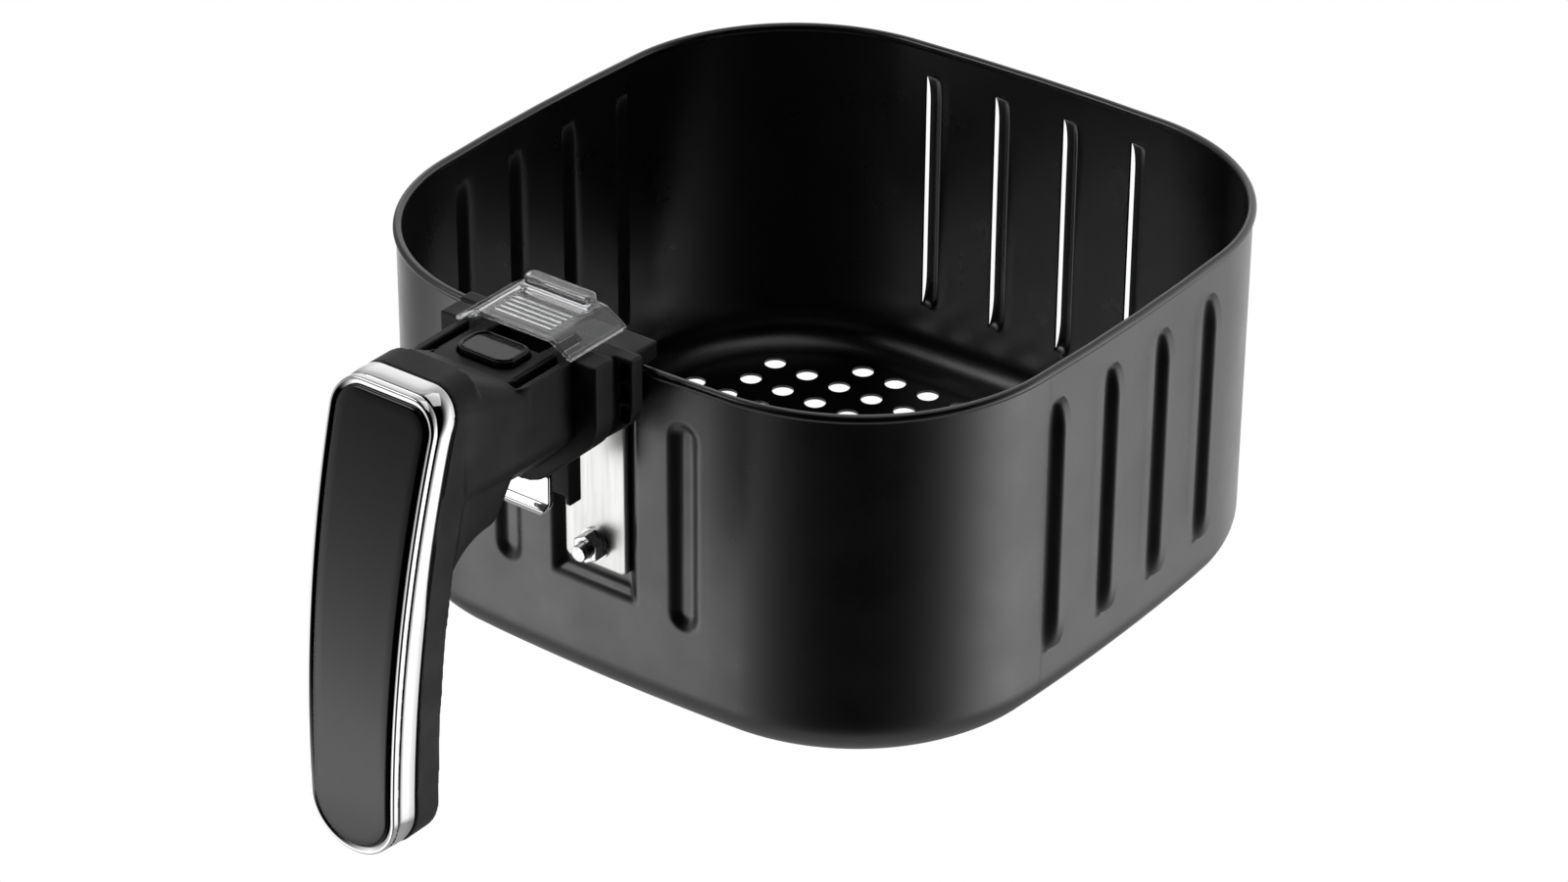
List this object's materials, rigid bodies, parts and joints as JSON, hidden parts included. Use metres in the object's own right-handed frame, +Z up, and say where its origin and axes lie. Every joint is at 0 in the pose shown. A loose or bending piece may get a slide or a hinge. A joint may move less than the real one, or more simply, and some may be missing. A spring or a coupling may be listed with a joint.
{
  "type": "air fryer basket with handle",
  "caption": "Square pressed-metal air fryer basket with rounded corners, louvred walls, a perforated floor, a drop handle, a guarded release button and a latch.",
  "frame": {"origin": "centre of the basket's flat underside", "axes": "+Z up through the basket's mouth, -Y out of the basket towards the handle grip, +X to the right of somebody who faces the handle side from outside"},
  "size_m": [0.2246, 0.3265, 0.138],
  "materials": {
    "nonstick_steel": "satin dark grey non-stick coating",
    "mill_steel": "pale mill-finish steel plate",
    "bright_steel": "bright zinc-plated steel",
    "black_plastic": "matte fine-grained black plastic",
    "gloss_black": "polished black plastic",
    "chrome_trim": "polished chrome plating",
    "clear_plastic": "clear polycarbonate"
  },
  "bodies": {
    "basket": {"basket_shell": "nonstick_steel", "handle_bracket": "mill_steel", "bracket_bolt": "bright_steel", "bracket_washer": "bright_steel", "bracket_nut": "bright_steel", "rim_clamp": "black_plastic", "clamp_screws": "bright_steel", "base_collar": "black_plastic", "base_screws": "bright_steel", "handle_body": "black_plastic", "button_plate": "black_plastic", "button_spring": "bright_steel", "lever_pin": "bright_steel", "latch_spring": "bright_steel", "trim_band": "chrome_trim", "trim_ring": "chrome_trim", "grip_inlay": "gloss_black", "grip_screws": "bright_steel"},
    "guard": {"slide_cover": "clear_plastic"},
    "button": {"release_button": "gloss_black"},
    "latch": {"latch_lever": "black_plastic", "latch_hook": "chrome_trim"}
  },
  "joints": [
    {"name": "guard_slide", "type": "slide", "parent": "basket", "child": "guard", "axis": [0, -1, 0], "range_m": [0, 0.02]},
    {"name": "button_press", "type": "slide", "parent": "basket", "child": "button", "axis": [0, 0, -1], "range_m": [0, 0.003], "stiffness_N_per_m": 600, "springref_m": -0.002, "deforming": ["button_spring"]},
    {"name": "latch_swing", "type": "hinge", "parent": "basket", "child": "latch", "pos_m": [0, -0.1365, 0.104], "axis": [1, 0, 0], "range_deg": [0, 12.1]}
  ],
  "couplings": [
    {"joint": "latch_swing", "follows": "button_press", "rad_per_m": 70}
  ]
}
